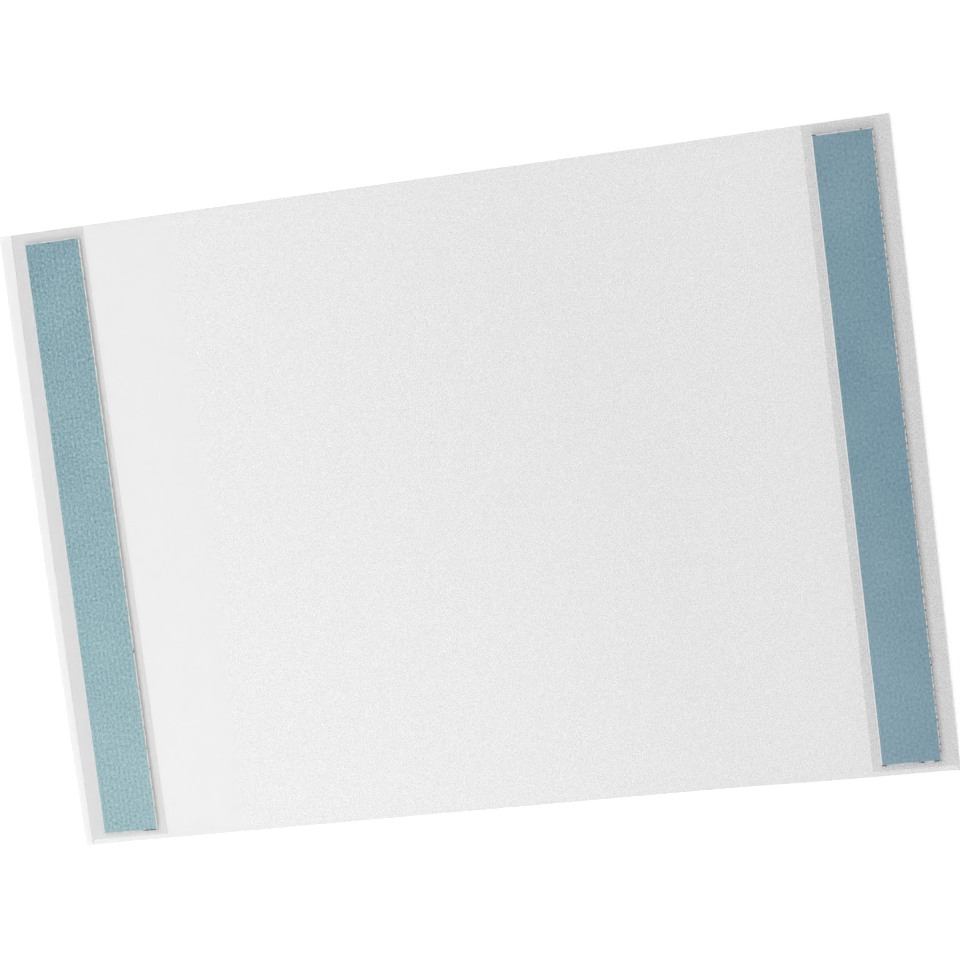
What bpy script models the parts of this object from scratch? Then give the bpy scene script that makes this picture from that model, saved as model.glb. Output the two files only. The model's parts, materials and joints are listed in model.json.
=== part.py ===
"""Self-adhesive display pocket for a landscape A4 sheet, lying on its display side.

One sheet of matt film is folded back at both short ends into flaps, and each flap carries a
double-sided foam tape under a blue release liner. Metres, +X along the long side, +Y across it,
+Z up through the adhesive side. The origin is under the middle of the pocket, on the table.
"""

import math

import bpy

# The sheet the pocket is made for, and the room left around it.
SHEET_WIDTH = 0.297
SHEET_HEIGHT = 0.210
SIDE_ROOM = 0.0058
EDGE_ROOM = 0.0045

# The film. The panel lies on the table along its belly and sweeps up at both ends into a level channel.
FILM_THICKNESS = 0.0003
BELLY_WIDTH = 0.090
BELLY_OFFSET = 0.025
LEFT_RISE = 0.0006
RIGHT_RISE = 0.0024
SWEEP_STEPS = 10

# The end folds. A strip of film leads from the channel up to the crease, the hinge line at the outer edge.
SLOT_HEIGHT = 0.0010
CREASE_STRIP_WIDTH = 0.005
FILM_PARTING = 0.0001
CREASE_ROUND = 0.00025
ROUND_STEPS = 4

# The flaps, from the crease to the free edge, and how much shorter than the panel they are at both ends.
LEFT_FLAP_WIDTH = 0.0313
RIGHT_FLAP_WIDTH = 0.0291
FLAP_LOW_TRIM = 0.0020
FLAP_HIGH_TRIM = 0.0003

# The tape strips. The insets run from the crease to the liner's outer edge.
LINER_WIDTH = 0.0192
LINER_LENGTH = 0.2104
LEFT_LINER_INSET = 0.0093
RIGHT_LINER_INSET = 0.0065
TAPE_OVERHANG = 0.0003
ADHESIVE_SETBACK = 0.0002
ADHESIVE_THICKNESS = 0.0001
CARRIER_THICKNESS = 0.0005
LINER_THICKNESS = 0.00012
LAYER_GAP = 0.00005

# Sizes that follow from the ones above.
POCKET_WIDTH = SHEET_WIDTH + 2 * SIDE_ROOM
POCKET_HEIGHT = SHEET_HEIGHT + 2 * EDGE_ROOM
POCKET_SPAN = (-POCKET_HEIGHT / 2, POCKET_HEIGHT / 2)
FLAP_SPAN = (FLAP_LOW_TRIM - POCKET_HEIGHT / 2, POCKET_HEIGHT / 2 - FLAP_HIGH_TRIM)
HALF_FILM = FILM_THICKNESS / 2
CREASE_X = POCKET_WIDTH / 2
CHANNEL_END = CREASE_X - CREASE_STRIP_WIDTH
CARRIER_WIDTH = LINER_WIDTH + 2 * TAPE_OVERHANG
CARRIER_LENGTH = LINER_LENGTH + 2 * TAPE_OVERHANG
ADHESIVE_WIDTH = CARRIER_WIDTH - 2 * ADHESIVE_SETBACK
ADHESIVE_LENGTH = CARRIER_LENGTH - 2 * ADHESIVE_SETBACK

# Colours as linear RGB with roughness and opacity.
FILM_LOOK = ((0.84, 0.85, 0.85), 0.45, 0.45)
LINER_LOOK = ((0.25, 0.41, 0.47), 0.60, 1.0)
FOAM_LOOK = ((0.86, 0.85, 0.80), 0.80, 1.0)
ADHESIVE_LOOK = ((0.80, 0.78, 0.68), 0.25, 1.0)


def clear_scene():
    """Remove every object that the startup file brings."""
    for found in list(bpy.data.objects):
        bpy.data.objects.remove(found, do_unlink=True)


def make_material(name, look):
    """A plain surface with a colour, a roughness and an opacity."""
    colour, roughness, opacity = look
    material = bpy.data.materials.new(name)
    material.use_nodes = True
    shader = material.node_tree.nodes["Principled BSDF"]
    shader.inputs["Base Color"].default_value = (*colour, 1.0)
    shader.inputs["Roughness"].default_value = roughness
    shader.inputs["Metallic"].default_value = 0.0
    shader.inputs["Alpha"].default_value = opacity
    material.diffuse_color = (*colour, 1.0)
    return material


def add_object(name, points, faces, origin, material):
    """Make an object whose own origin is at the given point."""
    local = [tuple(p[i] - origin[i] for i in range(3)) for p in points]
    mesh = bpy.data.meshes.new(name)
    mesh.from_pydata(local, [], faces)
    mesh.materials.append(material)
    for polygon in mesh.polygons:
        polygon.use_smooth = True
    mesh.set_sharp_from_angle(angle=math.radians(30))
    mesh.update()
    made = bpy.data.objects.new(name, mesh)
    made.location = origin
    bpy.context.scene.collection.objects.link(made)
    return made


def extrude_film(name, rows, span, origin, material):
    """Run film along Y from end to end. Its rows hold (x, z) of its under and upper face, left to right."""
    under = [row[0] for row in rows]
    upper = [row[1] for row in rows]
    count = len(rows)
    points = []
    for y in span:
        points += [(x, y, z) for x, z in under + upper]
    back = 2 * count
    faces = []
    for low in range(count - 1):
        top = count + low
        faces.append((low, low + 1, top + 1, top))
        faces.append((back + low, back + top, back + top + 1, back + low + 1))
        faces.append((low, back + low, back + low + 1, low + 1))
        faces.append((top, top + 1, back + top + 1, back + top))
    last = count - 1
    faces.append((0, count, back + count, back))
    faces.append((last, back + last, back + count + last, count + last))
    return add_object(name, points, faces, origin, material)


def add_block(name, centre, width, length, bottom, thickness, origin, material):
    """A flat rectangular layer, with its bottom face at a height."""
    points = []
    for z in (bottom, bottom + thickness):
        for y in (-length / 2, length / 2):
            points += [(centre - width / 2, y, z), (centre + width / 2, y, z)]
    faces = [(0, 2, 3, 1), (4, 5, 7, 6), (0, 1, 5, 4), (2, 6, 7, 3), (0, 4, 6, 2), (1, 3, 7, 5)]
    return add_object(name, points, faces, origin, material)


class Fold:
    """One end of the pocket: the panel's sweep and channel, the crease strip and the flap above them."""

    def __init__(self, side, rise, flap_width):
        """Take the side, -1 left or 1 right, the height of the channel and the width of the flap."""
        self.side = side
        self.rise = rise
        self.flap_edge = CREASE_X - flap_width
        self.belly_edge = BELLY_WIDTH / 2 + side * BELLY_OFFSET
        self.channel_top = rise + FILM_THICKNESS
        self.flap_bottom = self.channel_top + SLOT_HEIGHT
        self.flap_top = self.flap_bottom + FILM_THICKNESS
        self.strip_end = self.flap_bottom - FILM_PARTING
        self.strip_slope = math.atan2(self.strip_end - self.channel_top, CREASE_STRIP_WIDTH)

    def sweep_line(self):
        """The sweep from belly to channel, two equal arcs, as (x, z, slope) on the film's middle."""
        run = self.flap_edge - self.belly_edge
        steepest = 2 * math.atan2(self.rise, run)
        radius = run / (2 * math.sin(steepest))
        line = []
        for i in range(2 * SWEEP_STEPS + 1):
            share = i if i <= SWEEP_STEPS else 2 * SWEEP_STEPS - i
            a = steepest * share / SWEEP_STEPS
            along = radius * math.sin(a)
            up = radius * (1 - math.cos(a))
            if i <= SWEEP_STEPS:
                line.append((self.belly_edge + along, HALF_FILM + up, a))
            else:
                line.append((self.flap_edge - along, HALF_FILM + self.rise - up, a))
        return line

    def panel_rows(self):
        """Rows of this half of the panel, left to right on the finished pocket."""
        rows = []
        for x, z, a in self.sweep_line():
            aside = HALF_FILM * math.sin(a)
            along = HALF_FILM * math.cos(a)
            rows.append(((x + aside, z - along), (x - aside, z + along)))
        end = CHANNEL_END - FILM_PARTING
        rows.append(((end, self.rise), (end, self.channel_top)))
        return self.placed(rows)

    def strip_rows(self):
        """Rows of the crease strip, with its outer under edge rounded."""
        upright = FILM_THICKNESS / math.cos(self.strip_slope)
        slant = math.tan(self.strip_slope)
        middle_x = CREASE_X - CREASE_ROUND
        round_up = CREASE_ROUND / math.cos(self.strip_slope) - CREASE_ROUND * slant
        middle_z = self.strip_end - upright + round_up
        rows = [((CHANNEL_END, self.channel_top - upright), (CHANNEL_END, self.channel_top))]
        for i in range(ROUND_STEPS + 1):
            a = self.strip_slope + (math.pi / 2 - self.strip_slope) * i / ROUND_STEPS
            x = middle_x + CREASE_ROUND * math.sin(a)
            z = middle_z - CREASE_ROUND * math.cos(a)
            rows.append(((x, z), (x, self.strip_end - (CREASE_X - x) * slant)))
        return self.placed(rows)

    def flap_rows(self):
        """Rows of the flap, with its outer upper edge rounded."""
        rows = [((self.flap_edge, self.flap_bottom), (self.flap_edge, self.flap_top))]
        for i in range(ROUND_STEPS + 1):
            a = math.pi / 2 * i / ROUND_STEPS
            x = CREASE_X - CREASE_ROUND * (1 - math.sin(a))
            z = self.flap_top - CREASE_ROUND * (1 - math.cos(a))
            rows.append(((x, self.flap_bottom), (x, z)))
        return self.placed(rows)

    def placed(self, rows):
        """The rows as they are on the right, or mirrored to the left."""
        if self.side > 0:
            return rows
        return [((-low[0], low[1]), (-top[0], top[1])) for low, top in reversed(rows)]

    def hinge(self):
        """Point of the hinge line at the middle of the pocket, between the crease strip and the flap."""
        return (self.side * CREASE_X, 0.0, self.flap_bottom - FILM_PARTING / 2)


def build_strip(label, fold, inset, materials):
    """The tape on one flap: adhesive, foam carrier, adhesive and release liner, from the flap up."""
    centre = fold.side * (CREASE_X - inset - LINER_WIDTH / 2)
    layers = (
        ("bond_adhesive", ADHESIVE_WIDTH, ADHESIVE_LENGTH, ADHESIVE_THICKNESS, "adhesive"),
        ("foam_carrier", CARRIER_WIDTH, CARRIER_LENGTH, CARRIER_THICKNESS, "foam"),
        ("wall_adhesive", ADHESIVE_WIDTH, ADHESIVE_LENGTH, ADHESIVE_THICKNESS, "adhesive"),
        ("release_liner", LINER_WIDTH, LINER_LENGTH, LINER_THICKNESS, "liner"),
    )
    level = fold.flap_top
    for kind, width, length, thickness, look in layers:
        level += LAYER_GAP
        origin = fold.hinge()
        if kind == "release_liner":
            origin = (centre, length / 2, level + thickness)
        name = f"{label}_{kind}"
        add_block(name, centre, width, length, level, thickness, origin, materials[look])
        level += thickness


def build():
    """Build the panel, both folds with their flaps and both tape strips."""
    clear_scene()
    film = make_material("front_film", FILM_LOOK)
    folds = {
        "left": Fold(-1, LEFT_RISE, LEFT_FLAP_WIDTH),
        "right": Fold(1, RIGHT_RISE, RIGHT_FLAP_WIDTH),
    }
    insets = {"left": LEFT_LINER_INSET, "right": RIGHT_LINER_INSET}
    panel = folds["left"].panel_rows() + folds["right"].panel_rows()
    extrude_film("front_panel", panel, POCKET_SPAN, (0.0, 0.0, 0.0), film)
    for label, fold in folds.items():
        materials = {
            "film": make_material(f"{label}_flap_film", FILM_LOOK),
            "adhesive": make_material(f"{label}_tape_adhesive", ADHESIVE_LOOK),
            "foam": make_material(f"{label}_tape_foam", FOAM_LOOK),
            "liner": make_material(f"{label}_liner_paper", LINER_LOOK),
        }
        extrude_film(f"{label}_crease", fold.strip_rows(), POCKET_SPAN, fold.hinge(), film)
        extrude_film(f"{label}_flap", fold.flap_rows(), FLAP_SPAN, fold.hinge(), materials["film"])
        build_strip(label, fold, insets[label], materials)


build()
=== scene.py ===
"""Looks of the self-adhesive display pocket: its film, tape strips and liners, and the studio around it.

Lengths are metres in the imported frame: X along the long side, Y across it, Z up from the table.
"""

import json
import logging
import math
from dataclasses import dataclass, field
from enum import Enum

import bpy
import numpy as np
from bpy.types import Material, Mesh, Node, NodeSocket, NodeTree, Object
from mathutils import Matrix, Vector


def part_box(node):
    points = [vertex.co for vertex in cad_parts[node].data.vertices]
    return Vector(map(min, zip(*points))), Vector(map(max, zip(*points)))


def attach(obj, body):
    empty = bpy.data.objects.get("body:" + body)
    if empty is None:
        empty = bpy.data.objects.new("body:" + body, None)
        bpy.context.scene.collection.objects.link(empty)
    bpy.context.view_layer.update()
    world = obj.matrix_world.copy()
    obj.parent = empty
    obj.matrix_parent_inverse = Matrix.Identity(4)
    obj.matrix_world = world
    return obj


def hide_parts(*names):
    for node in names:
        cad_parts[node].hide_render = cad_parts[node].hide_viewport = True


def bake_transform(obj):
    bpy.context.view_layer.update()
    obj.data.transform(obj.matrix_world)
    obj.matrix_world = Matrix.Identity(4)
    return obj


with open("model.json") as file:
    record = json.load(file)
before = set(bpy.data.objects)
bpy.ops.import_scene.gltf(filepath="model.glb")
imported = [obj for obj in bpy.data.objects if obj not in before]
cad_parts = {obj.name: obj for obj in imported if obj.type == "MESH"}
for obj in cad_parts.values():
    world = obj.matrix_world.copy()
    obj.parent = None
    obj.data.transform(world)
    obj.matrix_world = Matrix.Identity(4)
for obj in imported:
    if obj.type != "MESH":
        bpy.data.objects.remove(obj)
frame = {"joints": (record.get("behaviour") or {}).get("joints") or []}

LOG = logging.getLogger("display_pocket")
MM = 0.001
Point = tuple[float, float, float]

# Edges that turn more than this stay sharp.
SHARP_ANGLE = math.radians(35)

# Share of a crease's bow that stands out past its straight line at the middle; its ends draw in by the rest.
BOW_OUT = 2 / 3

# Faces whose normal has a Z below this look down.
FACING_DOWN = -0.5

# Least and most size of a speck along, across and up, as shares, and its greatest turn aside in radians.
CRUMB_LEAST = (0.5, 0.25, 0.15)
CRUMB_MOST = (1.0, 0.5, 0.3)
CRUMB_SWAY = 0.35


class Side(Enum):
    """The two short ends of the pocket."""

    LEFT = "left"
    RIGHT = "right"

    @property
    def sign(self) -> int:
        """-1 on the left and 1 on the right."""
        return -1 if self is Side.LEFT else 1

    @property
    def label(self) -> str:
        """First word of the node tree inputs that belong to this side."""
        return self.value.capitalize()

    def node(self, kind: str) -> str:
        """Name of this side's CAD node, body or material slot of a kind."""
        return f"{self.value}_{kind}"


class Layer(Enum):
    """The layers of a tape strip, from the flap up."""

    BOND = "bond_adhesive"
    FOAM = "foam_carrier"
    WALL = "wall_adhesive"
    LINER = "release_liner"


def linear(code: str) -> tuple[float, float, float, float]:
    """Turn an sRGB hex code into linear RGBA.

    Args:
        code: six hex digits after a hash sign.

    Returns:
        The linear colour, with full opacity.
    """
    parts = [int(code[i:i + 2], 16) / 255 for i in (1, 3, 5)]
    return (*[c / 12.92 if c <= 0.04045 else ((c + 0.055) / 1.055) ** 2.4 for c in parts], 1.0)


def add_node(tree: NodeTree, kind: str, inputs: dict | None = None, **settings) -> Node:
    """Add a node, set it up and feed its inputs.

    Args:
        tree: the node tree it goes into.
        kind: the node's type name.
        inputs: values or output sockets, by the input's name or number.
        settings: the node's own properties.

    Returns:
        The new node.
    """
    node = tree.nodes.new(kind)
    for name, value in settings.items():
        setattr(node, name, value)
    for key, value in (inputs or {}).items():
        if isinstance(value, NodeSocket):
            tree.links.new(value, node.inputs[key])
        else:
            node.inputs[key].default_value = value
    return node


def calc(tree: NodeTree, operation: str, *values: float | NodeSocket) -> NodeSocket:
    """Add a Math node that works on some values, and give its output socket."""
    return add_node(tree, "ShaderNodeMath", dict(enumerate(values)), operation=operation).outputs[0]


def ramp(tree: NodeTree, value: NodeSocket, begin: float, end: float, low: float = 0.0,
         high: float = 1.0, **settings) -> NodeSocket:
    """Map one range of values onto another. Any bound may be an output socket too.

    Args:
        tree: the node tree it goes into.
        value: what is mapped.
        begin: the value that gives low.
        end: the value that gives high.
        low: the result up to begin.
        high: the result from end on.
        settings: the node's own properties.

    Returns:
        The output socket of the result.
    """
    return add_node(tree, "ShaderNodeMapRange", {
        "Value": value, "From Min": begin, "From Max": end, "To Min": low, "To Max": high},
        **settings).outputs[0]


def noise(tree: NodeTree, place: NodeSocket, size: float, detail: float,
          roughness: float = 0.5) -> NodeSocket:
    """Add a noise whose lumps have a size, and give the output socket of its value."""
    return add_node(tree, "ShaderNodeTexNoise", {
        "Vector": place, "Scale": 1 / size, "Detail": detail, "Roughness": roughness}).outputs["Fac"]


def mix_colours(tree: NodeTree, share: NodeSocket, first: str, second: str,
                clamped: bool = True) -> NodeSocket:
    """Mix two colours.

    Args:
        tree: the node tree it goes into.
        share: the second colour's share.
        first: the first colour as sRGB hex code.
        second: the second colour as sRGB hex code.
        clamped: whether the share is held between 0 and 1.

    Returns:
        The output socket of the mixed colour.
    """
    # Inputs 6 and 7 and output 2 are the node's colour sockets.
    mixed = add_node(tree, "ShaderNodeMix", {
        "Factor": share, 6: linear(first), 7: linear(second)}, data_type="RGBA", clamp_factor=clamped)
    return mixed.outputs[2]


def empty_material(name: str) -> tuple[Material, NodeTree]:
    """Make a material with an empty node tree.

    Args:
        name: the material's name.

    Returns:
        The material and its tree.
    """
    material = bpy.data.materials.new(name)
    material.use_nodes = True
    material.node_tree.nodes.clear()
    return material, material.node_tree


def end_material(tree: NodeTree, look: dict, forward_share: float = 0.0) -> None:
    """Give a material's surface out, passing some of the lamps' light on to what lies behind it.

    Args:
        tree: the material's tree.
        look: values or output sockets for the surface shader, by the input's name.
        forward_share: how much of the lamps' light a face scatters forward.
    """
    surface = add_node(tree, "ShaderNodeBsdfPrincipled", look)
    if forward_share:
        ray = add_node(tree, "ShaderNodeLightPath").outputs["Is Shadow Ray"]
        share = calc(tree, "MULTIPLY", ray, forward_share)
        clear = add_node(tree, "ShaderNodeBsdfTransparent")
        surface = add_node(tree, "ShaderNodeMixShader", {
            0: share, 1: surface.outputs[0], 2: clear.outputs[0]})
    add_node(tree, "ShaderNodeOutputMaterial", {0: surface.outputs[0]})


def link_mesh(name: str, mesh: Mesh) -> Object:
    """Put a mesh into the scene as an object at the origin, smooth apart from its sharp edges.

    Args:
        name: the object's name.
        mesh: the mesh, with its place in its points.

    Returns:
        The new object.
    """
    mesh.shade_smooth()
    mesh.set_sharp_from_angle(angle=SHARP_ANGLE)
    made = bpy.data.objects.new(name, mesh)
    bpy.context.scene.collection.objects.link(made)
    return made


def slab_mesh(name: str, under: np.ndarray, upper: np.ndarray) -> Mesh:
    """Close two grids of points into a slab.

    Args:
        name: the mesh's name.
        under: points of the under face, rows along X by columns along Y by 3.
        upper: points of the upper face, in the same order.

    Returns:
        The closed mesh, with its faces out.
    """
    rows, columns = under.shape[:2]
    count = rows * columns
    index = np.arange(count).reshape(rows, columns)
    faces = []
    for i in range(rows - 1):
        for j in range(columns - 1):
            corners = (index[i, j], index[i + 1, j], index[i + 1, j + 1], index[i, j + 1])
            faces.append(tuple(int(c) + count for c in corners))
            faces.append(tuple(int(c) for c in reversed(corners)))
    rim = [*index[:, 0], *index[-1, 1:], *index[-2::-1, -1], *index[0, -2:0:-1]]
    for a, b in zip(rim, rim[1:] + rim[:1]):
        faces.append((int(a), int(b), int(b) + count, int(a) + count))
    mesh = bpy.data.meshes.new(name)
    mesh.from_pydata(np.concatenate([under.reshape(-1, 3), upper.reshape(-1, 3)]).tolist(), [], faces)
    mesh.update()
    return mesh


def wander(count: int, reach: float, spacing: int, seed: int) -> np.ndarray:
    """A smooth random line for an edge that isn't cut quite straight.

    Args:
        count: number of points on the line.
        reach: how far it strays to either side.
        spacing: points from one random value to the next.
        seed: fixed seed of the random values.

    Returns:
        One offset for each point.
    """
    values = np.random.default_rng(seed).uniform(-reach, reach, count // spacing + 2)
    return np.interp(np.arange(count) / spacing, np.arange(len(values)), values)


def from_nodes(name: str, tree: NodeTree, sizes: dict[str, float | int | Point]) -> Object:
    """Run a Geometry Nodes tree and keep its result as a plain mesh.

    Args:
        name: the object's name.
        tree: the tree, with named inputs.
        sizes: the value of each input, by its name.

    Returns:
        An object at the origin with no modifier left.
    """
    made = bpy.data.objects.new(name, bpy.data.meshes.new(name))
    bpy.context.scene.collection.objects.link(made)
    modifier = made.modifiers.new("shape", "NODES")
    modifier.node_group = tree
    for item in tree.interface.items_tree:
        if item.item_type == "SOCKET" and item.in_out == "INPUT" and item.name in sizes:
            modifier[item.identifier] = sizes[item.name]
    evaluated = made.evaluated_get(bpy.context.evaluated_depsgraph_get())
    mesh = bpy.data.meshes.new_from_object(evaluated)
    made.modifiers.remove(modifier)
    bpy.data.objects.remove(made, do_unlink=True)
    mesh.name = name
    return link_mesh(name, mesh)


def geometry_tree(name: str, inputs: dict[str, str]) -> tuple[NodeTree, Node]:
    """Start a Geometry Nodes tree with named inputs and one geometry output.

    Args:
        name: the tree's name.
        inputs: the socket type of each input, by its name.

    Returns:
        The tree and its group input node.
    """
    tree = bpy.data.node_groups.new(name, "GeometryNodeTree")
    for label, kind in inputs.items():
        tree.interface.new_socket(label, in_out="INPUT", socket_type=kind)
    tree.interface.new_socket("Geometry", in_out="OUTPUT", socket_type="NodeSocketGeometry")
    return tree, add_node(tree, "NodeGroupInput")


def end_tree(tree: NodeTree, shape: NodeSocket, material: Material,
             under: Material | None = None) -> None:
    """Close a Geometry Nodes tree: make instances real, set the material and give the result out.

    Args:
        tree: the tree.
        shape: the finished geometry.
        material: what the geometry is made of.
        under: the finish of the faces that look down, if it differs.
    """
    real = add_node(tree, "GeometryNodeRealizeInstances", {0: shape})
    dressed = add_node(tree, "GeometryNodeSetMaterial", {"Geometry": real.outputs[0], "Material": material})
    if under is not None:
        normal = add_node(tree, "GeometryNodeInputNormal").outputs[0]
        facing = add_node(tree, "ShaderNodeSeparateXYZ", {0: normal})
        down = add_node(tree, "FunctionNodeCompare", {
            0: facing.outputs["Z"], 1: FACING_DOWN}, operation="LESS_THAN")
        dressed = add_node(tree, "GeometryNodeSetMaterial", {
            "Geometry": dressed.outputs[0], "Selection": down.outputs[0], "Material": under})
    add_node(tree, "NodeGroupOutput", {0: dressed.outputs[0]})


@dataclass(frozen=True)
class MattFilm:
    """One face of calendered PVC film, matt where the embossing roll pressed it."""

    name: str
    pale: str = "#bbbcbc"
    dark: str = "#b5b6b6"
    face_opacity: float = 0.395
    forward_share: float = 0.72
    roughness: float = 0.48
    ior: float = 1.53
    grain: float = 0.95 * MM
    grain_span: tuple[float, float] = (0.35, 0.65)
    grain_tone: tuple[float, float] = (-0.6, 0.4)
    emboss_depth: float = 0.05 * MM
    clear_x: float = -150 * MM
    contact_x: float = 60 * MM
    clear_grain: float = 0.18

    def material(self) -> Material:
        """Milky film that lets most light through, its own grain drawn stronger to the right as painted
        contact shade.

        Returns:
            The material.
        """
        made, tree = empty_material(self.name)
        place = add_node(tree, "ShaderNodeTexCoord").outputs["Object"]
        # A real matt emboss is too fine to show at this distance, so its grain is drawn coarser.
        grain = noise(tree, place, self.grain, detail=1.5)
        across = add_node(tree, "ShaderNodeSeparateXYZ", {0: place}).outputs["X"]
        # Painted shade: the grain grows stronger to the right, for its shade where the film lies on the
        # table.
        contact_shade = ramp(tree, across, self.clear_x, self.contact_x, self.clear_grain, 1.0)
        spread = ramp(tree, grain, *self.grain_span, *self.grain_tone)
        mottle = calc(tree, "MULTIPLY_ADD", spread, contact_shade, 0.5)
        colour = mix_colours(tree, mottle, self.dark, self.pale)
        emboss = add_node(tree, "ShaderNodeBump", {
            "Height": grain, "Strength": 0.25, "Distance": self.emboss_depth})
        # Light that the film scatters forward still reaches the table, so its shadow is paler than the film.
        end_material(tree, {
            "Base Color": colour, "Normal": emboss.outputs[0], "Roughness": self.roughness,
            "IOR": self.ior, "Alpha": self.face_opacity}, self.forward_share)
        return made


@dataclass(frozen=True)
class SiliconisedPaper:
    """Blue glassine release paper, supercalendered and coated with silicone on one face."""

    name: str
    pale: str
    deep: str
    # Weight of the painted sheen drawn as stripes on the ribs.
    rib_sheen: float
    fleck: float
    # Share of painted sheen that pales the paper towards its low end.
    painted_sheen: float
    forward_share: float
    roughness: float = 0.36
    ior: float = 1.45
    specular: float = 0.7
    rib_pitch: float = 1.78 * MM
    streak_width: float = 0.42 * MM
    streak_length: float = 1.3 * MM
    cloud: float = 0.8 * MM
    drift: float = 24 * MM
    drift_share: float = 0.5
    slit_edge: float = 0.4 * MM
    slit_shade: float = -0.12
    relief_depth: float = 0.03 * MM
    length: float = 210.4 * MM

    def material(self) -> Material:
        """Blue with faint ribs and short pale fibre flecks along the web, a soft calender sheen, and painted
        sheen.

        Returns:
            The material.
        """
        made, tree = empty_material(self.name)
        web = add_node(tree, "ShaderNodeUVMap", uv_map="web").outputs[0]
        across, down = add_node(tree, "ShaderNodeSeparateXYZ", {0: web}).outputs[:2]
        along = add_node(tree, "ShaderNodeMapping", {
            "Vector": web, "Scale": (1 / self.streak_width, 1 / self.streak_length, 1.0)})
        streaks = noise(tree, along.outputs[0], size=1.0, detail=2.0, roughness=0.55)
        clouds = noise(tree, web, self.cloud, detail=2.0)
        drift = noise(tree, web, self.drift, detail=1.0)
        # Painted sheen: the real ribs are drawn as pale and dark stripes for the light on them.
        turns = calc(tree, "MULTIPLY", across, math.tau / self.rib_pitch)
        rib_sheen_stripes = calc(tree, "SINE", turns)
        slit = ramp(tree, across, 0.0, self.slit_edge, self.slit_shade, 0.0)
        # Painted sheen: the tone is paler towards the web's low end.
        painted_sheen_tone = ramp(tree, down, 0.0, self.length, self.painted_sheen, 0.0)
        # Each part of the pattern, with its middle level and its weight, moves the tone from the middle.
        parts = (
            (rib_sheen_stripes, 0.0, self.rib_sheen), (streaks, 0.5, self.fleck), (clouds, 0.5, self.fleck),
            (drift, 0.5, self.drift_share), (slit, 0.0, 1.0), (painted_sheen_tone, 0.0, 1.0))
        tone = 0.5
        for part, level, weight in parts:
            tone = calc(tree, "MULTIPLY_ADD", calc(tree, "SUBTRACT", part, level), weight, tone)
        colour = mix_colours(tree, tone, self.deep, self.pale, clamped=False)
        relief = add_node(tree, "ShaderNodeBump", {
            "Height": streaks, "Strength": 0.6, "Distance": self.relief_depth})
        end_material(tree, {
            "Base Color": colour, "Normal": relief.outputs[0], "Roughness": self.roughness,
            "IOR": self.ior, "Specular IOR Level": self.specular}, self.forward_share)
        return made


@dataclass(frozen=True)
class AcrylicAdhesive:
    """Pressure-sensitive acrylic, coated wet and still showing the weave of its release web."""

    name: str
    clear: str = "#f3f0e6"
    deep: str = "#e9e4d6"
    roughness: float = 0.22
    ior: float = 1.47
    weave: float = 1.2 * MM
    haze: float = 6 * MM
    relief_depth: float = 0.05 * MM

    def material(self) -> Material:
        """Pale straw and wet-looking, with a soft quilted relief.

        Returns:
            The material.
        """
        made, tree = empty_material(self.name)
        place = add_node(tree, "ShaderNodeTexCoord").outputs["Object"]
        quilt = add_node(tree, "ShaderNodeTexVoronoi", {
            "Vector": place, "Scale": 1 / self.weave, "Randomness": 0.35}, feature="SMOOTH_F1")
        haze = noise(tree, place, self.haze, detail=3.0)
        colour = mix_colours(tree, haze, self.clear, self.deep)
        relief = add_node(tree, "ShaderNodeBump", {
            "Height": quilt.outputs["Distance"], "Strength": 0.3, "Distance": self.relief_depth})
        end_material(tree, {
            "Base Color": colour, "Normal": relief.outputs[0], "Roughness": self.roughness,
            "IOR": self.ior})
        return made


@dataclass(frozen=True)
class ClosedCellFoam:
    """White polyethylene foam, slit from a wide roll so that its sides show cut cells."""

    name: str
    forward_share: float
    wall: str = "#fcfcfa"
    pit_shade: str = "#ecebe7"
    roughness: float = 0.85
    cell: float = 0.22 * MM
    pit_span: tuple[float, float] = (0.1, 0.6)
    pit_depth: float = 0.06 * MM

    def material(self) -> Material:
        """Chalky white with tiny open pits, their hollows painted darker as shade.

        Returns:
            The material.
        """
        made, tree = empty_material(self.name)
        place = add_node(tree, "ShaderNodeTexCoord").outputs["Object"]
        cells = add_node(tree, "ShaderNodeTexVoronoi", {"Vector": place, "Scale": 1 / self.cell})
        depth = ramp(tree, cells.outputs["Distance"], *self.pit_span)
        # Painted shade: the cells' hollows are drawn darker than their walls.
        colour = mix_colours(tree, depth, self.pit_shade, self.wall)
        relief = add_node(tree, "ShaderNodeBump", {
            "Height": depth, "Strength": 0.5, "Distance": self.pit_depth})
        end_material(tree, {
            "Base Color": colour, "Normal": relief.outputs[0], "Roughness": self.roughness},
            self.forward_share)
        return made


@dataclass(frozen=True)
class DarkSpeckFinish:
    """Dark specks on the adhesive's bare rim."""

    name: str
    dark: str = "#1d2325"
    grey: str = "#555d60"
    roughness: float = 0.9
    lump: float = 0.6 * MM

    def material(self) -> Material:
        """Dull dark crumbs of uneven grey.

        Returns:
            The material.
        """
        made, tree = empty_material(self.name)
        place = add_node(tree, "ShaderNodeTexCoord").outputs["Object"]
        lumps = noise(tree, place, self.lump, detail=2.0)
        colour = mix_colours(tree, lumps, self.dark, self.grey)
        end_material(tree, {"Base Color": colour, "Roughness": self.roughness})
        return made


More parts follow.
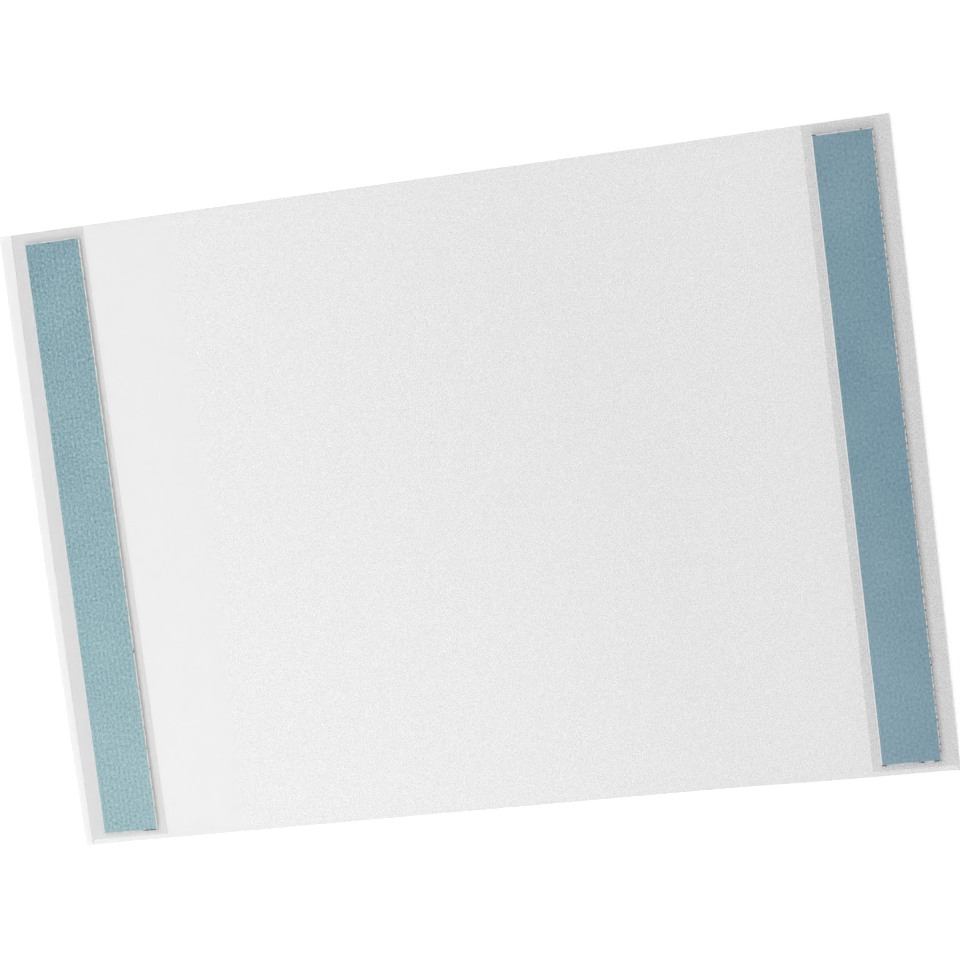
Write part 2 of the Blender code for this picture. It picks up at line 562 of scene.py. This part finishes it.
@dataclass
class FoldLine:
    """Where one end of the film folds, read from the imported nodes, with the band ironed flat there."""

    side: Side
    ironed_low: float
    ironed_high: float
    bow: float
    film: float = 0.3 * MM
    turn_radius: float = 0.2 * MM
    flap_edge: float = field(init=False)
    flap_span: tuple[float, float] = field(init=False)
    crease_span: tuple[float, float] = field(init=False)
    channel_end: float = field(init=False)
    turn_x: float = field(init=False)
    hinge: Vector = field(init=False)
    rise: float = field(init=False)

    def __post_init__(self) -> None:
        """Take the sizes from the flap, the crease strip and the joint."""
        flap_low, flap_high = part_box(self.side.node("flap"))
        strip_low, strip_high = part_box(self.side.node("crease"))
        joint = next(j for j in frame["joints"] if j["name"] == self.side.node("flap_fold"))
        self.hinge = Vector(joint["pos_m"])
        inner = {Side.LEFT: (flap_high.x, strip_high.x), Side.RIGHT: (flap_low.x, strip_low.x)}[self.side]
        self.flap_edge, self.channel_end = inner
        self.turn_x = self.hinge.x - self.side.sign * (self.turn_radius + self.film / 2)
        self.rise = strip_low.z
        self.flap_span = (flap_low.y, flap_high.y)
        self.crease_span = (strip_low.y, strip_high.y)

    @property
    def lead(self) -> float:
        """How far the film's middle climbs from the channel to the start of the turn."""
        return self.hinge.z - self.turn_radius - self.film / 2 - self.rise

    def share(self, y: float | np.ndarray) -> float | np.ndarray:
        """How far along the crease a place is, from 0 at its low end to 1 at its high end."""
        low, high = self.crease_span
        return (y - low) / (high - low)

    def bulge(self, y: float | np.ndarray) -> float | np.ndarray:
        """How far the bowed crease strays along X from its straight line."""
        return self.side.sign * self.bow * (BOW_OUT - 4 * (self.share(y) - 0.5) ** 2)

    def ironed_line(self, y: float | np.ndarray) -> float | np.ndarray:
        """X of the ironed band's inner edge if the crease weren't bowed, as the band runs a little askew."""
        share = self.share(y)
        return self.hinge.x - self.side.sign * (self.ironed_low * (1 - share) + self.ironed_high * share)

    def ironed_edge(self, y: float | np.ndarray) -> float | np.ndarray:
        """X of the ironed band's inner edge on the bowed crease."""
        return self.ironed_line(y) + self.bulge(y)

    def lead_height(self, x: np.ndarray) -> np.ndarray:
        """Height of the film's middle between the channel and the turn."""
        share = np.clip((x - self.channel_end) / (self.turn_x - self.channel_end), 0, 1)
        return self.rise + self.film / 2 + self.lead * share ** 2 * (3 - 2 * share)


@dataclass
class FrontPanel:
    """The display panel with its swept ends, up to the ironed band of both folds."""

    folds: dict[Side, FoldLine]
    belly: tuple[float, float] = (-20 * MM, 70 * MM)
    columns: int = 401
    rows: int = 25
    merge_reach: float = 0.001 * MM

    def tree(self, upper: Material, under: Material) -> NodeTree:
        """A level sheet lifted by the rule of its sweeps and leads, then given its thickness.

        Args:
            upper: the film's upper face and its cut edges.
            under: the film's under face.

        Returns:
            The Geometry Nodes tree.
        """
        parts = ("Low End", "High End", "Bow", "Belly", "Flap Edge", "Rise", "Channel End", "Turn", "Lead")
        labels = [side.label for side in Side]
        names = ["Length", "Film"] + [f"{label} {part}" for label in labels for part in parts]
        tree, given = geometry_tree("swept_film", {name: "NodeSocketFloat" for name in names})
        size = {name: given.outputs[name] for name in names}
        sheet = add_node(tree, "GeometryNodeMeshGrid", {
            "Size X": 1.0, "Size Y": 1.0, "Vertices X": self.columns, "Vertices Y": self.rows})
        here = add_node(tree, "GeometryNodeInputPosition").outputs[0]
        unit_x, unit_y = add_node(tree, "ShaderNodeSeparateXYZ", {0: here}).outputs[:2]
        ends = [ramp(tree, unit_y, -0.5, 0.5, size[f"{label} Low End"], size[f"{label} High End"])
                for label in labels]
        # The bow is a parabola along the unit sheet, whose sides lie at -0.5 and 0.5.
        curve = calc(tree, "MULTIPLY_ADD", calc(tree, "MULTIPLY", unit_y, unit_y), -4.0, BOW_OUT)
        ends = [calc(tree, "MULTIPLY_ADD", curve, size[f"{label} Bow"], end)
                for label, end in zip(labels, ends)]
        across = ramp(tree, unit_x, -0.5, 0.5, *ends)
        along = calc(tree, "MULTIPLY", unit_y, size["Length"])
        height = None
        for label in labels:
            for begin, end, lift in (("Belly", "Flap Edge", "Rise"), ("Channel End", "Turn", "Lead")):
                step = ramp(tree, across, size[f"{label} {begin}"], size[f"{label} {end}"],
                            0.0, size[f"{label} {lift}"], interpolation_type="SMOOTHSTEP")
                height = step if height is None else calc(tree, "ADD", height, step)
        place = add_node(tree, "ShaderNodeCombineXYZ", {"X": across, "Y": along, "Z": height})
        swept = add_node(tree, "GeometryNodeSetPosition", {
            "Geometry": sheet.outputs[0], "Position": place.outputs[0]})
        thick = add_node(tree, "GeometryNodeExtrudeMesh", {
            "Mesh": swept.outputs[0], "Offset Scale": size["Film"], "Individual": False})
        back = add_node(tree, "GeometryNodeFlipFaces", {0: swept.outputs[0]})
        both = add_node(tree, "GeometryNodeJoinGeometry")
        tree.links.new(thick.outputs["Mesh"], both.inputs[0])
        tree.links.new(back.outputs[0], both.inputs[0])
        closed = add_node(tree, "GeometryNodeMergeByDistance", {
            "Geometry": both.outputs[0], "Distance": self.merge_reach})
        end_tree(tree, closed.outputs[0], upper, under)
        return tree

    def build(self, matt: MattFilm, smooth: MattFilm) -> Object:
        """Make the panel and let it stand for the CAD panel and both crease strips.

        Args:
            matt: the finish of its upper face.
            smooth: the finish of its under face, the display side.

        Returns:
            The panel.
        """
        low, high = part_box("front_panel")
        sizes = {"Length": high.y - low.y, "Film": self.folds[Side.LEFT].film}
        for side, belly in zip(Side, self.belly):
            fold = self.folds[side]
            label = side.label
            sizes |= {
                f"{label} Low End": fold.ironed_line(low.y),
                f"{label} High End": fold.ironed_line(high.y),
                f"{label} Bow": side.sign * fold.bow,
                f"{label} Belly": belly,
                f"{label} Flap Edge": fold.flap_edge,
                f"{label} Rise": fold.rise,
                f"{label} Channel End": fold.channel_end,
                f"{label} Turn": fold.turn_x,
                f"{label} Lead": fold.lead,
            }
        panel = from_nodes("panel_film", self.tree(matt.material(), smooth.material()), sizes)
        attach(panel, "pocket")
        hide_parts("front_panel", "left_crease", "right_crease")
        return panel


@dataclass
class EndFlap:
    """The folded-back end of the film: the ironed band on both sides of its turn, then the matt flap."""

    fold: FoldLine
    turn_steps: int = 12
    ironed_steps: int = 6
    flap_steps: int = 24
    columns: int = 49
    edge_wave: float = 0.06 * MM
    wave_run: float = 31 * MM
    seam: float = 0.01 * MM
    blend_inset: float = 0.1 * MM

    def faces(self) -> list[np.ndarray]:
        """Inner and outer face of the film, from the panel's edge round the turn to the flap's free edge.

        Returns:
            The points of both faces, rows along the film by columns along Y.
        """
        fold = self.fold
        sign = fold.side.sign
        y = np.linspace(*fold.crease_span, self.columns)
        flap_y = np.linspace(*fold.flap_span, self.columns)
        edge = fold.ironed_edge(y)
        turn = fold.turn_x + fold.bulge(y)
        level = np.zeros_like(y)
        top = fold.hinge.z + fold.turn_radius
        rows = []
        for share in np.linspace(0, 1, self.ironed_steps + 1):
            x = (edge + sign * self.seam) * (1 - share) + turn * share
            rows.append((x, y, fold.lead_height(x), 0.0, -1.0))
        for angle in np.linspace(-math.pi / 2, math.pi / 2, self.turn_steps + 1)[1:]:
            out, up = sign * math.cos(angle), math.sin(angle)
            rows.append((turn + fold.turn_radius * out, y,
                         level + fold.hinge.z + fold.turn_radius * up, out, up))
        for share in np.linspace(0, 1, self.ironed_steps + 1)[1:]:
            rows.append((turn * (1 - share) + edge * share, y, level + top, 0.0, 1.0))
        for share in np.linspace(0, 1, self.flap_steps + 1)[1:]:
            wave = share ** 2 * self.edge_wave * (1 + np.sin(y / self.wave_run + sign))
            rows.append((edge * (1 - share) + fold.flap_edge * share, flap_y, top + wave, 0.0, 1.0))
        if fold.side is Side.RIGHT:
            rows.reverse()
        return [np.array([np.stack([x + offset * out, y, z + offset * up], axis=1)
                          for x, y, z, out, up in rows])
                for offset in (-fold.film / 2, fold.film / 2)]

    def build(self, film: MattFilm, ironed: MattFilm) -> Object:
        """Make the flap, bending between the panel and the CAD flap at the crease.

        Args:
            film: the finish of the flap.
            ironed: the finish of the band along the crease.

        Returns:
            The flap.
        """
        fold = self.fold
        name = fold.side.node("flap_film")
        flap = link_mesh(name, slab_mesh(name, *self.faces()))
        for finish in (film, ironed):
            flap.data.materials.append(finish.material())
        for face in flap.data.polygons:
            face.material_index = int((face.center.x - fold.ironed_edge(face.center.y)) * fold.side.sign > 0)
        fold.side.node("fold")
        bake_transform(flap)
        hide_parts(fold.side.node("flap"))
        return flap


@dataclass(frozen=True)
class Cut:
    """How a layer's two long edges were slit: how far each strays, and how far the left one stands out."""

    left: float
    right: float
    proud: float = 0.0


@dataclass(frozen=True)
class SpeckRun:
    """A line of dark specks on the adhesive's rim, its ends as shares of the strip's width and length."""

    begin: tuple[float, float]
    end: tuple[float, float]
    count: int
    crumb: float


@dataclass
class TapeStrip:
    """Double-sided foam tape on a flap, under its release liner."""

    side: Side
    askew: float
    rim: float
    paper: SiliconisedPaper
    specks: tuple[SpeckRun, ...]
    columns: int = 281
    rows: int = 21
    clean_spacing: int = 6
    ragged_spacing: int = 1
    seed: int = 7
    layer_seeds: int = 10
    side_seeds: int = 100
    cuts: dict[Layer, Cut] = field(default_factory=lambda: {
        Layer.BOND: Cut(0.03 * MM, 0.03 * MM), Layer.FOAM: Cut(0.03 * MM, 0.10 * MM, 0.15 * MM),
        Layer.WALL: Cut(0.03 * MM, 0.08 * MM), Layer.LINER: Cut(0.015 * MM, 0.09 * MM)})
    end_lift: float = 0.12 * MM
    end_lift_length: float = 5 * MM
    curl_length: float = 35 * MM
    speck_spread: float = 0.4 * MM
    speck_aside: float = 0.05 * MM

    def grid(self, layer: Layer) -> tuple[np.ndarray, np.ndarray]:
        """Both faces of a layer, with edges that aren't cut quite straight.

        Args:
            layer: which layer.

        Returns:
            The points of the under and the upper face.
        """
        low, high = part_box(self.side.node(layer.value))
        cut = self.cuts[layer]
        seed = self.seed + self.layer_seeds * list(Layer).index(layer)
        seed += self.side_seeds * list(Side).index(self.side)
        share = np.linspace(0, 1, self.rows)[:, None]
        left = low.x - cut.proud + wander(self.columns, cut.left, self.clean_spacing, seed)
        rim = 0.0 if layer is Layer.LINER else self.rim
        right = high.x + rim + wander(self.columns, cut.right, self.ragged_spacing, seed + 1)
        grid = np.zeros((self.rows, self.columns, 3))
        grid[..., 0] = left * (1 - share) + right * share
        ends = [edge + wander(self.rows, cut.right, self.ragged_spacing, seed + number)
                for number, edge in ((2, low.y), (3, high.y))]
        run = np.linspace(0, 1, self.columns)[None, :]
        grid[..., 1] = ends[0][:, None] * (1 - run) + ends[1][:, None] * run
        under, upper = grid.copy(), grid.copy()
        under[..., 2], upper[..., 2] = low.z, high.z
        if layer is Layer.LINER:
            loose = np.clip(1 - (grid[..., 1] - low.y) / self.end_lift_length, 0, 1) ** 2
            lift = self.end_lift * loose * share ** 2
            under[..., 2] += lift
            upper[..., 2] += lift
        return self.laid(under), self.laid(upper)

    def laid(self, points: np.ndarray) -> np.ndarray:
        """Shear points that stand square so that they lie as askew as the strip was laid by hand.

        Args:
            points: the points, with X, Y and Z on the last axis.

        Returns:
            The sheared points.
        """
        low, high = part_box(self.side.node(Layer.LINER.value))
        shift = self.askew * (points[..., 1:2] - (low.y + high.y) / 2)
        return points + shift * np.array([1.0, 0.0, 0.0])

    @staticmethod
    def speck_tree(material: Material) -> NodeTree:
        """Crumbs scattered along a line, each with its own size, turn and place beside the line.

        Args:
            material: what the crumbs are made of.

        Returns:
            The Geometry Nodes tree.
        """
        tree, given = geometry_tree("edge_specks", {
            "Begin": "NodeSocketVector", "End": "NodeSocketVector", "Count": "NodeSocketInt",
            "Crumb": "NodeSocketFloat", "Scatter": "NodeSocketVector", "Turn": "NodeSocketVector",
            "Seed": "NodeSocketInt"})
        line = add_node(tree, "GeometryNodeMeshLine", {
            "Count": given.outputs["Count"], "Start Location": given.outputs["Begin"],
            "Offset": given.outputs["End"]}, mode="END_POINTS")
        astray = add_node(tree, "FunctionNodeRandomValue", {
            0: (-1.0, -1.0, -1.0), 1: (1.0, 1.0, 1.0),
            "Seed": given.outputs["Seed"]}, data_type="FLOAT_VECTOR")
        offset = add_node(tree, "ShaderNodeVectorMath", {
            0: astray.outputs[0], 1: given.outputs["Scatter"]}, operation="MULTIPLY")
        places = add_node(tree, "GeometryNodeSetPosition", {
            "Geometry": line.outputs[0], "Offset": offset.outputs[0]})
        crumb = add_node(tree, "GeometryNodeMeshIcoSphere", {
            "Radius": given.outputs["Crumb"], "Subdivisions": 1})
        sway = add_node(tree, "FunctionNodeRandomValue", {
            0: (0.0, 0.0, -CRUMB_SWAY), 1: (0.0, 0.0, CRUMB_SWAY),
            "Seed": given.outputs["Seed"]}, data_type="FLOAT_VECTOR")
        turn = add_node(tree, "ShaderNodeVectorMath", {0: sway.outputs[0], 1: given.outputs["Turn"]})
        size = add_node(tree, "FunctionNodeRandomValue", {
            0: CRUMB_LEAST, 1: CRUMB_MOST, "Seed": given.outputs["Seed"]}, data_type="FLOAT_VECTOR")
        crumbs = add_node(tree, "GeometryNodeInstanceOnPoints", {
            "Points": places.outputs[0], "Instance": crumb.outputs[0], "Rotation": turn.outputs[0],
            "Scale": size.outputs[0]})
        end_tree(tree, crumbs.outputs[0], material)
        return tree

    def build_specks(self) -> list[Object]:
        """Scatter dark specks along the strip's ragged edges.

        Returns:
            One piece for each run of dust.
        """
        low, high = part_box(self.side.node(Layer.WALL.value))
        tree = self.speck_tree(DarkSpeckFinish(self.side.node("lint_and_paper_dust")).material())
        pieces = []
        for number, run in enumerate(self.specks):
            ends = self.laid(np.array([(low.x + u * (high.x - low.x), low.y + v * (high.y - low.y), high.z)
                                       for u, v in (run.begin, run.end)]))
            along = (ends[1] - ends[0]) / np.linalg.norm(ends[1] - ends[0])
            scatter = self.speck_spread * np.abs(along) + self.speck_aside
            made = from_nodes(self.side.node(f"edge_dust_{number + 1}"), tree, {
                "Begin": tuple(ends[0]), "End": tuple(ends[1]), "Count": run.count, "Crumb": run.crumb,
                "Scatter": tuple(scatter), "Turn": (0.0, 0.0, math.atan2(along[1], along[0])),
                "Seed": self.seed + number})
            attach(made, self.side.node("fold"))
            self.side.node("tape_adhesive")
            pieces.append(made)
        return pieces

    def piece(self, layer: Layer, name: str, material: Material) -> Object:
        """Make one layer and let it stand for its CAD node.

        Args:
            layer: which layer.
            name: the piece's name.
            material: what it is made of.

        Returns:
            The layer.
        """
        made = link_mesh(name, slab_mesh(name, *self.grid(layer)))
        made.data.materials.append(material)
        low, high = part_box(self.side.node(layer.value))
        flat = np.stack(np.meshgrid(np.linspace(0, high.x - low.x, self.rows),
                                    np.linspace(0, high.y - low.y, self.columns), indexing="ij"), axis=-1)
        corners = np.zeros(len(made.data.loops), dtype=np.int32)
        made.data.loops.foreach_get("vertex_index", corners)
        web = made.data.uv_layers.new(name="web")
        web.uv.foreach_set("vector", flat.reshape(-1, 2)[corners % (self.rows * self.columns)].ravel())
        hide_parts(self.side.node(layer.value))
        return made

    def build(self) -> list[Object]:
        """Make and dress the four layers and the dark specks on them.

        Returns:
            The layers, from the flap up, and then the specks.
        """
        fold_body = self.side.node("fold")
        coat = AcrylicAdhesive(self.side.node("acrylic_adhesive_coated")).material()
        foam = ClosedCellFoam(self.side.node("polyethylene_foam_slit"), self.paper.forward_share).material()
        looks = {
            Layer.BOND: ("bond_coat", coat, "tape_adhesive"),
            Layer.FOAM: ("foam_core", foam, "tape_foam"),
            Layer.WALL: ("wall_coat", coat, "tape_adhesive"),
            Layer.LINER: ("liner_paper", self.paper.material(), "liner_paper"),
        }
        pieces = []
        for layer, (kind, material, slot) in looks.items():
            made = self.piece(layer, self.side.node(kind), material)
            # The clear coats take next to no light, so the tape's shadow is the foam's and the paper's.
            made.visible_shadow = layer in (Layer.FOAM, Layer.LINER)
            if layer is Layer.LINER:
                joint = next(j for j in frame["joints"] if j["name"] == self.side.node("liner_peel"))
                self.side.node("liner")
                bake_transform(made)
            else:
                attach(made, fold_body)
            self.side.node(slot)
            pieces.append(made)
        return pieces + self.build_specks()


@dataclass(frozen=True)
class Lamp:
    """A round softbox aimed at the middle of the pocket."""

    name: str
    place: Point
    power: float
    size: float
    colour: str

    def build(self) -> Object:
        """Make the lamp.

        Returns:
            The lamp's object.
        """
        data = bpy.data.lights.new(self.name, "AREA")
        data.shape = "DISK"
        data.size = self.size
        data.energy = self.power
        data.color = linear(self.colour)[:3]
        made = bpy.data.objects.new(self.name, data)
        made.location = self.place
        made.rotation_mode = "QUATERNION"
        made.rotation_quaternion = (-Vector(self.place)).to_track_quat("-Z", "Y")
        made.visible_camera = False
        bpy.context.scene.collection.objects.link(made)
        return made

    def light_on_card(self, tree: NodeTree, spot: NodeSocket, albedo: float) -> NodeSocket:
        """The colour that this lamp alone gives a matt card lying level.

        Args:
            tree: the node tree it goes into.
            spot: the place on the card.
            albedo: how much light the card sends back.

        Returns:
            The output socket of the colour.
        """
        # The cosine law at both ends: power / pi leaves the lamp straight ahead, albedo / pi leaves the card.
        far = Vector(self.place).length
        strength = albedo * self.power * self.place[2] / (math.pi ** 2 * far)
        ray = add_node(tree, "ShaderNodeVectorMath", {0: spot, 1: self.place}, operation="SUBTRACT")
        square = add_node(tree, "ShaderNodeVectorMath", {
            0: ray.outputs[0], 1: ray.outputs[0]}, operation="DOT_PRODUCT")
        wide = calc(tree, "ADD", square.outputs["Value"], (self.size / 2) ** 2)
        fall = calc(tree, "POWER", wide, -2.0)
        aside = add_node(tree, "ShaderNodeVectorMath", {0: spot, 1: self.place}, operation="DOT_PRODUCT")
        facing = calc(tree, "SUBTRACT", far ** 2, aside.outputs["Value"])
        level = calc(tree, "MULTIPLY", fall, facing)
        tint = tuple(c * strength for c in linear(self.colour)[:3])
        lit = add_node(tree, "ShaderNodeVectorMath", {0: tint, "Scale": level}, operation="SCALE")
        return lit.outputs[0]


@dataclass
class Studio:
    """White table, softboxes before and behind, sky light, a pale window wall to mirror and the camera."""

    lamps: tuple[Lamp, ...] = (
        Lamp("front_softbox", place=(-0.06, -0.30, 0.82), power=2.85, size=0.40, colour="#ffffff"),
        Lamp("rear_softbox", place=(-0.06, 0.30, 0.82), power=2.85, size=0.40, colour="#ffffff"),
    )
    sky: tuple[float, float, float] = (0.09, 0.10, 0.12)
    window_way: Point = (-0.45, -0.85, 0.27)
    window_edge: tuple[float, float] = (0.15, 0.65)
    window_colour: str = "#fffcea"
    floor_albedo: float = 0.9
    floor_drop: float = 0.3 * MM
    floor_size: float = 8.0
    # Towards this side the table is brighter than white, so that shadows on it fade out.
    bright_side: Point = (-0.95, -0.30, 0.0)
    bright_reach: tuple[float, float] = (-0.05, 0.16)
    bright_level: float = 1.2
    eye: Point = (0.10665, 0.05585, 0.66218)
    target: Point = (0.00440, 0.00515, 0.0)
    heading: float = math.radians(7.249)
    lens: float = 73.39
    sensor: float = 36.0

    def floor_material(self) -> Material:
        """White card seen as white, with painted light past white to the bright side, less the shadows that
        fall on it.

        Returns:
            The material.
        """
        made, tree = empty_material("white_card_table")
        spot = add_node(tree, "ShaderNodeTexCoord").outputs["Object"]
        along = add_node(tree, "ShaderNodeVectorMath", {
            0: spot, 1: self.bright_side}, operation="DOT_PRODUCT")
        white = ramp(tree, along.outputs["Value"], *self.bright_reach, 1.0, self.bright_level)
        spare = add_node(tree, "ShaderNodeCombineXYZ", {0: white, 1: white, 2: white}).outputs[0]
        sky = tuple(self.floor_albedo * c for c in self.sky)
        for light in (sky, *[lamp.light_on_card(tree, spot, self.floor_albedo) for lamp in self.lamps]):
            less = add_node(tree, "ShaderNodeVectorMath", {0: spare, 1: light}, operation="SUBTRACT")
            spare = less.outputs[0]
        card = add_node(tree, "ShaderNodeBsdfDiffuse", {"Color": (*[self.floor_albedo] * 3, 1.0)})
        glow = add_node(tree, "ShaderNodeEmission", {"Color": spare})
        white = add_node(tree, "ShaderNodeAddShader", {0: card.outputs[0], 1: glow.outputs[0]})
        seen = self.seen_directly(tree)
        shown = add_node(tree, "ShaderNodeMixShader", {0: seen, 1: card.outputs[0], 2: white.outputs[0]})
        behind = add_node(tree, "ShaderNodeNewGeometry").outputs["Backfacing"]
        clear = add_node(tree, "ShaderNodeBsdfTransparent")
        one_sided = add_node(tree, "ShaderNodeMixShader", {
            0: behind, 1: shown.outputs[0], 2: clear.outputs[0]})
        add_node(tree, "ShaderNodeOutputMaterial", {0: one_sided.outputs[0]})
        return made

    @staticmethod
    def seen_directly(tree: NodeTree) -> NodeSocket:
        """One for what the camera sees straight, mirrored or through glass, and else zero.

        Args:
            tree: the node tree it goes into.

        Returns:
            The output socket.
        """
        path = add_node(tree, "ShaderNodeLightPath")
        seen = path.outputs["Is Camera Ray"]
        for name in ("Is Glossy Ray", "Is Transmission Ray"):
            seen = calc(tree, "MAXIMUM", seen, path.outputs[name])
        return seen

    def build_floor(self) -> Object:
        """Lay the table just under the film.

        Returns:
            The table.
        """
        half = self.floor_size / 2
        plan = ((-half, -half), (half, -half), (half, half), (-half, half))
        corners = [(x, y, -self.floor_drop) for x, y in plan]
        mesh = bpy.data.meshes.new("table")
        mesh.from_pydata(corners, [], [(0, 1, 2, 3)])
        floor = link_mesh("table", mesh)
        floor.data.materials.append(self.floor_material())
        return floor

    def build_world(self) -> None:
        """Light from all round for the object, and white where the camera looks past the table."""
        world = bpy.data.worlds.new("sky_light")
        world.use_nodes = True
        tree = world.node_tree
        tree.nodes.clear()
        path = add_node(tree, "ShaderNodeLightPath")
        way = add_node(tree, "ShaderNodeTexCoord").outputs["Generated"]
        toward = add_node(tree, "ShaderNodeVectorMath", {0: way, 1: self.window_way}, operation="DOT_PRODUCT")
        pale = ramp(tree, toward.outputs["Value"], *self.window_edge)
        shown = add_node(tree, "ShaderNodeBackground", {"Color": (*self.sky, 1.0)})
        window = add_node(tree, "ShaderNodeBackground", {
            "Color": linear(self.window_colour), "Strength": pale})
        white = add_node(tree, "ShaderNodeBackground", {"Color": (1.0, 1.0, 1.0, 1.0)})
        sights = (("Is Glossy Ray", window), ("Is Transmission Ray", white), ("Is Camera Ray", white))
        for ray, light in sights:
            shown = add_node(tree, "ShaderNodeMixShader", {
                0: path.outputs[ray], 1: shown.outputs[0], 2: light.outputs[0]})
        add_node(tree, "ShaderNodeOutputWorld", {0: shown.outputs[0]})
        bpy.context.scene.world = world

    def build_camera(self) -> Object:
        """Set the camera where the photograph was taken from.

        Returns:
            The camera.
        """
        data = bpy.data.cameras.new("photo_camera")
        data.lens = self.lens
        data.sensor_width = self.sensor
        camera = bpy.data.objects.new("photo_camera", data)
        forward = (Vector(self.target) - Vector(self.eye)).normalized()
        right = forward.cross(Vector((math.sin(self.heading), math.cos(self.heading), 0))).normalized()
        up = right.cross(forward)
        turned = Matrix((right, up, -forward)).transposed().to_4x4()
        camera.matrix_world = Matrix.Translation(self.eye) @ turned
        bpy.context.scene.collection.objects.link(camera)
        bpy.context.scene.camera = camera
        return camera

    def build(self) -> None:
        """Set up table, lamps, sky, camera and the plain colour transform."""
        self.build_floor()
        for lamp in self.lamps:
            lamp.build()
        self.build_world()
        self.build_camera()
        bpy.context.scene.view_settings.view_transform = "Standard"


# Width of the band ironed flat along each crease, at the pocket's low and high end.
IRONED_WIDTH = {Side.LEFT: (2.5 * MM, 4.4 * MM), Side.RIGHT: (0.45 * MM, 0.45 * MM)}

# How far each crease bows outwards from its ends to its middle.
CREASE_BOW = {Side.LEFT: 0.6 * MM, Side.RIGHT: 0.15 * MM}

# Opacity of each flap's faces and of its ironed band.
FLAP_OPACITY = {Side.LEFT: (0.10, 0.085), Side.RIGHT: (0.12, 0.12)}

# Share of the lamps' light that a flap's faces and its ironed band scatter forward.
FLAP_FORWARD = (0.80, 0.3)

# The panel's display side is polished, so it is clearer and smoother than its matt side.
DISPLAY_FACE = MattFilm("panel_pvc_film_polished", face_opacity=0.06, roughness=0.3)

# How far each strip leans to the right for each metre up it.
STRIP_ASKEW = {Side.LEFT: 0.0069, Side.RIGHT: 0.0}

# How far each tape stands out past the liner's right edge.
TAPE_RIM = {Side.LEFT: 0.10 * MM, Side.RIGHT: 0.0}

# The two liners are one paper. The left one is drawn paler and greener, and paler still towards its low end,
# as painted light and sheen; its real ribs and flecks are drawn stronger for the sheen on them. It also lets
# more light through.
PAPER = {
    Side.LEFT: SiliconisedPaper("left_glassine_paper_siliconised", "#accfd4", "#749dae",
                                rib_sheen=0.10, fleck=2.1, painted_sheen=0.50, forward_share=0.83),
    Side.RIGHT: SiliconisedPaper("right_glassine_paper_siliconised", "#94b9c3", "#6089a0",
                                 rib_sheen=0.035, fleck=1.4, painted_sheen=0.0, forward_share=0.60),
}

# Dark specks sit just past the tape's right edges and cut ends, in shares of its width and length.
LEFT_TAPE_EDGE = 1.010
RIGHT_TAPE_EDGE = 1.008
LOW_END = -0.0008
HIGH_END = 1.0006

# Where the dark specks sit on the tape: all along the right edge, and in places at the cut ends.
SPECK_RUNS = {
    Side.LEFT: (
        SpeckRun((LEFT_TAPE_EDGE, 0.0), (LEFT_TAPE_EDGE, 1.0), 30, 0.32 * MM),
        SpeckRun((0.77, LOW_END), (0.98, LOW_END), 18, 0.50 * MM),
        SpeckRun((LEFT_TAPE_EDGE, 0.305), (LEFT_TAPE_EDGE, 0.307), 3, 0.50 * MM),
    ),
    Side.RIGHT: (
        SpeckRun((RIGHT_TAPE_EDGE, 0.0), (RIGHT_TAPE_EDGE, 1.0), 80, 0.42 * MM),
        SpeckRun((0.66, LOW_END), (0.72, LOW_END), 7, 0.50 * MM),
        SpeckRun((0.90, LOW_END), (0.94, LOW_END), 5, 0.50 * MM),
        SpeckRun((0.01, LOW_END), (0.05, LOW_END), 5, 0.50 * MM),
        SpeckRun((0.01, HIGH_END), (0.03, HIGH_END), 4, 0.46 * MM),
        SpeckRun((0.79, HIGH_END), (0.82, HIGH_END), 3, 0.42 * MM),
    ),
}


def report(piece: Object) -> None:
    """Log a piece's name and how many faces it has."""
    LOG.info("%s: %d faces", piece.name, len(piece.data.polygons))


def main() -> None:
    """Build the studio, then the pocket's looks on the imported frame."""
    logging.basicConfig(level=logging.INFO, format="%(message)s")
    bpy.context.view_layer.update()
    Studio().build()
    folds = {side: FoldLine(side, *IRONED_WIDTH[side], CREASE_BOW[side]) for side in Side}
    report(FrontPanel(folds).build(MattFilm("panel_pvc_film_matt_embossed"), DISPLAY_FACE))
    for side in Side:
        kinds = ("flap_pvc_film_matt_embossed", "crease_pvc_film_ironed")
        film, ironed = (MattFilm(side.node(kind), face_opacity=opacity, forward_share=share)
                        for kind, opacity, share in zip(kinds, FLAP_OPACITY[side], FLAP_FORWARD))
        report(EndFlap(folds[side]).build(film, ironed))
        for piece in TapeStrip(side, STRIP_ASKEW[side], TAPE_RIM[side], PAPER[side], SPECK_RUNS[side]).build():
            report(piece)


if __name__ == "__main__":
    main()
